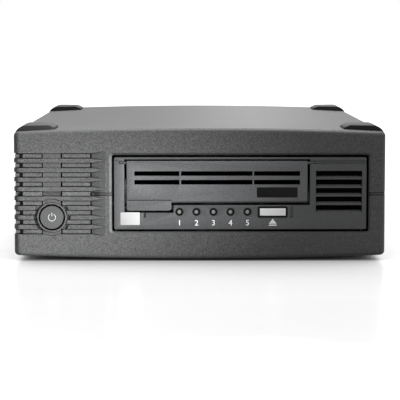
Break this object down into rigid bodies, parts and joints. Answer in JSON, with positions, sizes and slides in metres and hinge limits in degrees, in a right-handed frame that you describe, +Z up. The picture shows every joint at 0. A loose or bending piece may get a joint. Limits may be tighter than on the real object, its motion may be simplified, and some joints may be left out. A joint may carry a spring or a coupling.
{
  "type": "external tape drive",
  "caption": "Desktop tape drive in a ribbed moulded case with corner pads, a hinged cartridge door, push buttons, status lamps, inner tape path, power supply and fan.",
  "frame": {"origin": "on the table, under the middle of the case", "axes": "+X to the right seen from the front, +Y to the back, +Z up; the door and buttons face -Y"},
  "size_m": [0.218, 0.3203, 0.0795],
  "materials": {
    "case": "fine grained, moulded grey",
    "feet": "soft grey rubber",
    "grille": "moulded grey",
    "button": "smooth grey",
    "bezel": "fine grained, moulded grey",
    "door": "fine grained, moulded grey",
    "plate": "pale printed plate",
    "lamp_holder": "black",
    "lamp": "clear lens, unlit",
    "eject": "smooth pale grey",
    "black_plastic": "moulded black",
    "board": "green circuit board",
    "steel": "zinc plated sheet",
    "aluminium": "machined",
    "chrome": "bright",
    "roller": "white, smooth",
    "reel": "dark, smooth",
    "panel": "grey powder coat",
    "screws": "plated"
  },
  "bodies": {
    "chassis": {"badge_plate": "plate", "bezel_board": "board", "bracket_left": "steel", "bracket_right": "steel", "case_screws": "screws", "data_sockets": "chrome", "deck_plate": "aluminium", "drive_base": "steel", "drive_bezel": "bezel", "drive_cover": "steel", "drive_screws": "screws", "eject_switch": "black_plastic", "fan_frame": "black_plastic", "fan_guard": "chrome", "fan_screws": "screws", "foot_bottom_back_left": "feet", "foot_bottom_back_right": "feet", "foot_bottom_front_left": "feet", "foot_bottom_front_right": "feet", "foot_top_back_left": "feet", "foot_top_back_right": "feet", "foot_top_front_left": "feet", "foot_top_front_right": "feet", "head_actuator": "aluminium", "heat_sink": "aluminium", "inlet_body": "black_plastic", "inlet_pins": "chrome", "interface_board": "board", "lamp_holder": "lamp_holder", "loader_frame": "steel", "lower_shell": "case", "main_board": "board", "power_switch": "black_plastic", "rear_panel": "panel", "reel_motors": "steel", "status_lamps": "lamp", "supply_board": "board", "supply_case": "steel", "supply_cover": "steel", "supply_parts": "black_plastic", "switch_board": "board", "upper_shell": "case", "vent_baffle": "grille"},
    "door": {"cartridge_door": "door", "door_plate": "plate"},
    "eject": {"eject_button": "eject"},
    "power": {"power_button": "button"},
    "fan": {"fan_rotor": "black_plastic"},
    "spindle": {"supply_spindle": "black_plastic"},
    "reel": {"take_up_reel": "reel"},
    "roller_1": {"guide_roller_1": "roller"},
    "roller_2": {"guide_roller_2": "roller"},
    "roller_3": {"guide_roller_3": "roller"},
    "roller_4": {"guide_roller_4": "roller"},
    "carriage": {"loader_carriage": "aluminium"},
    "tray": {"cartridge_tray": "black_plastic"},
    "head": {"head_carriage": "black_plastic", "tape_head": "chrome"}
  },
  "joints": [
    {"name": "door_swing", "type": "hinge", "parent": "chassis", "child": "door", "pos_m": [0.0102, -0.1582, 0.0578], "axis": [1, 0, 0], "range_deg": [0, 90], "stiffness_Nm_per_rad": 0.01},
    {"name": "eject_press", "type": "slide", "parent": "chassis", "child": "eject", "axis": [0, 1, 0], "range_m": [0, 0.0012], "stiffness_N_per_m": 300, "springref_m": -0.0005},
    {"name": "power_press", "type": "slide", "parent": "chassis", "child": "power", "axis": [0, 1, 0], "range_m": [0, 0.002], "stiffness_N_per_m": 400, "springref_m": -0.0005},
    {"name": "fan_spin", "type": "hinge", "parent": "chassis", "child": "fan", "pos_m": [0, 0.1323, 0.03975], "axis": [0, 1, 0], "continuous": true},
    {"name": "spindle_spin", "type": "hinge", "parent": "chassis", "child": "spindle", "pos_m": [0.0102, -0.0784, 0.0303], "axis": [0, 0, 1], "continuous": true},
    {"name": "reel_spin", "type": "hinge", "parent": "chassis", "child": "reel", "pos_m": [0.024, 0.0126, 0.032], "axis": [0, 0, 1], "continuous": true},
    {"name": "roller_1_spin", "type": "hinge", "parent": "chassis", "child": "roller_1", "pos_m": [0.0788, -0.0454, 0.032], "axis": [0, 0, 1], "continuous": true},
    {"name": "roller_2_spin", "type": "hinge", "parent": "chassis", "child": "roller_2", "pos_m": [0.0868, -0.0294, 0.032], "axis": [0, 0, 1], "continuous": true},
    {"name": "roller_3_spin", "type": "hinge", "parent": "chassis", "child": "roller_3", "pos_m": [0.0868, -0.0014, 0.032], "axis": [0, 0, 1], "continuous": true},
    {"name": "roller_4_spin", "type": "hinge", "parent": "chassis", "child": "roller_4", "pos_m": [0.0768, 0.0146, 0.032], "axis": [0, 0, 1], "continuous": true},
    {"name": "carriage_slide", "type": "slide", "parent": "chassis", "child": "carriage", "axis": [0, 1, 0], "range_m": [0, 0.028]},
    {"name": "tray_drop", "type": "slide", "parent": "carriage", "child": "tray", "axis": [0, 0, -1], "range_m": [0, 0.004]},
    {"name": "head_step", "type": "slide", "parent": "chassis", "child": "head", "axis": [0, 0, 1], "range_m": [-0.002, 0.002]}
  ]
}
